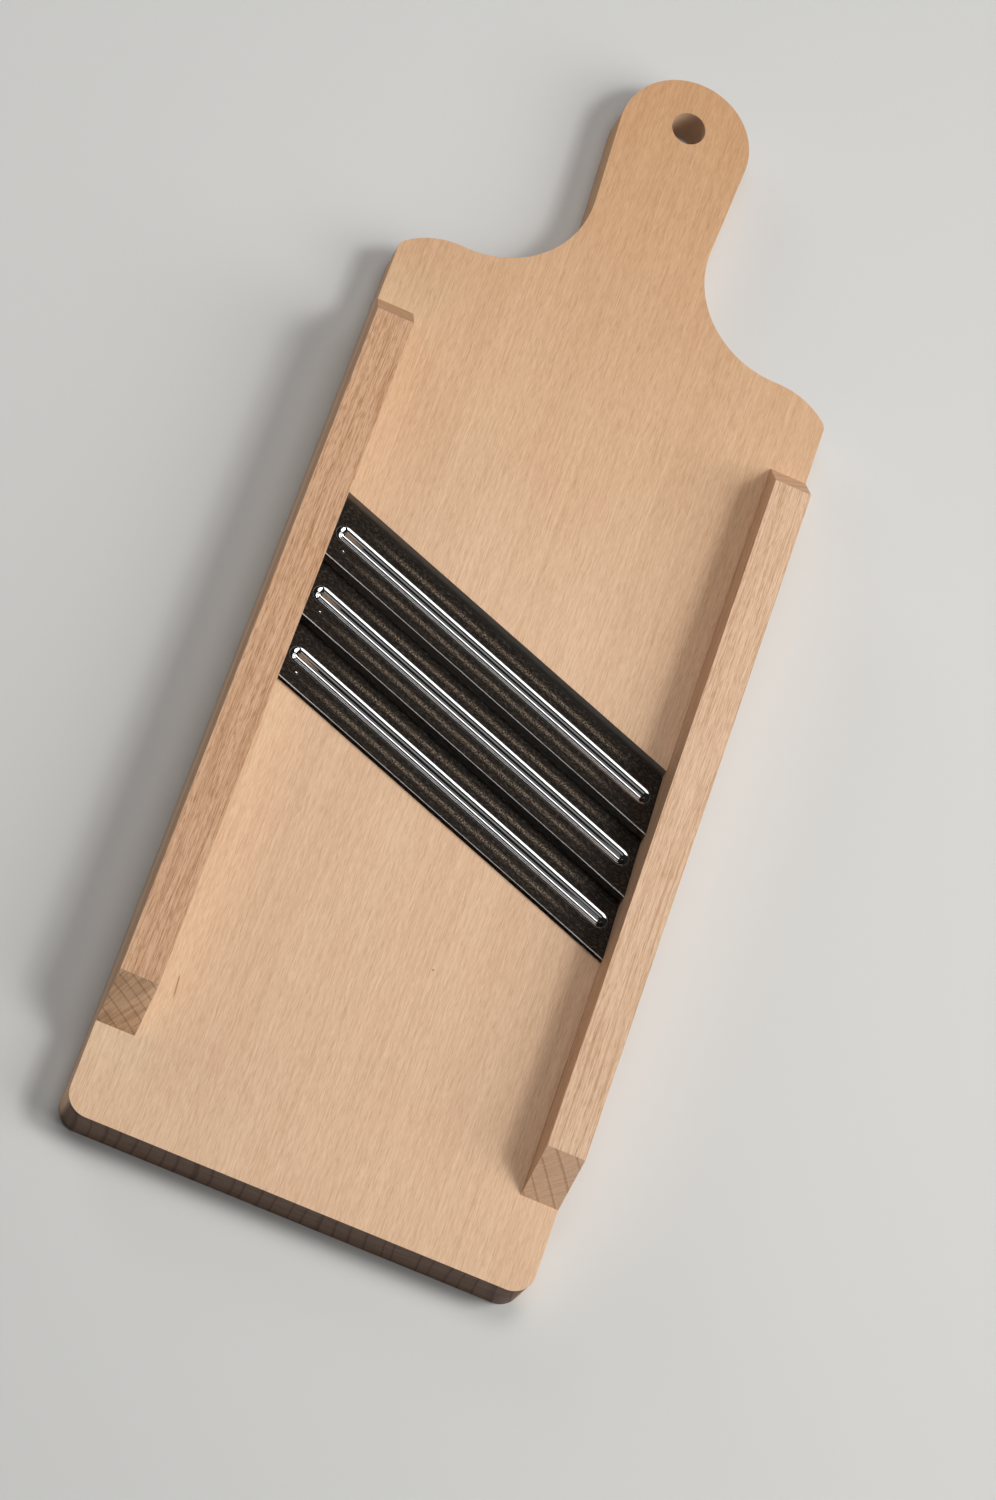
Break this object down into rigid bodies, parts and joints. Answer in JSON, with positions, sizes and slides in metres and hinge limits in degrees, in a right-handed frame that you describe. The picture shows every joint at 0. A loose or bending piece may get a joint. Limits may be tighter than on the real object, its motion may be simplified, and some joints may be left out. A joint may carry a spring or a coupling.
{
  "type": "cabbage cutter",
  "caption": "Wooden cabbage slicing board with a paddle handle, raised guide rails and three slanting steel blades, each stiffened by a pressed bead, over an opening.",
  "frame": {"origin": "on the underside, under the middle of the whole object", "axes": "+X across the board to the right, seen on the face with the handle up; +Y along the board towards the handle; +Z out of the face with the blades"},
  "size_m": [0.164, 0.45, 0.036],
  "materials": {
    "beech": "sanded, unvarnished",
    "blade_steel": "polished, with brush lines",
    "screw_steel": "zinc plated"
  },
  "bodies": {
    "root": {"board": "beech", "left_rail": "beech", "right_rail": "beech", "top_blade": "blade_steel", "middle_blade": "blade_steel", "bottom_blade": "blade_steel", "left_rail_screws": "screw_steel", "right_rail_screws": "screw_steel"}
  },
  "joints": []
}
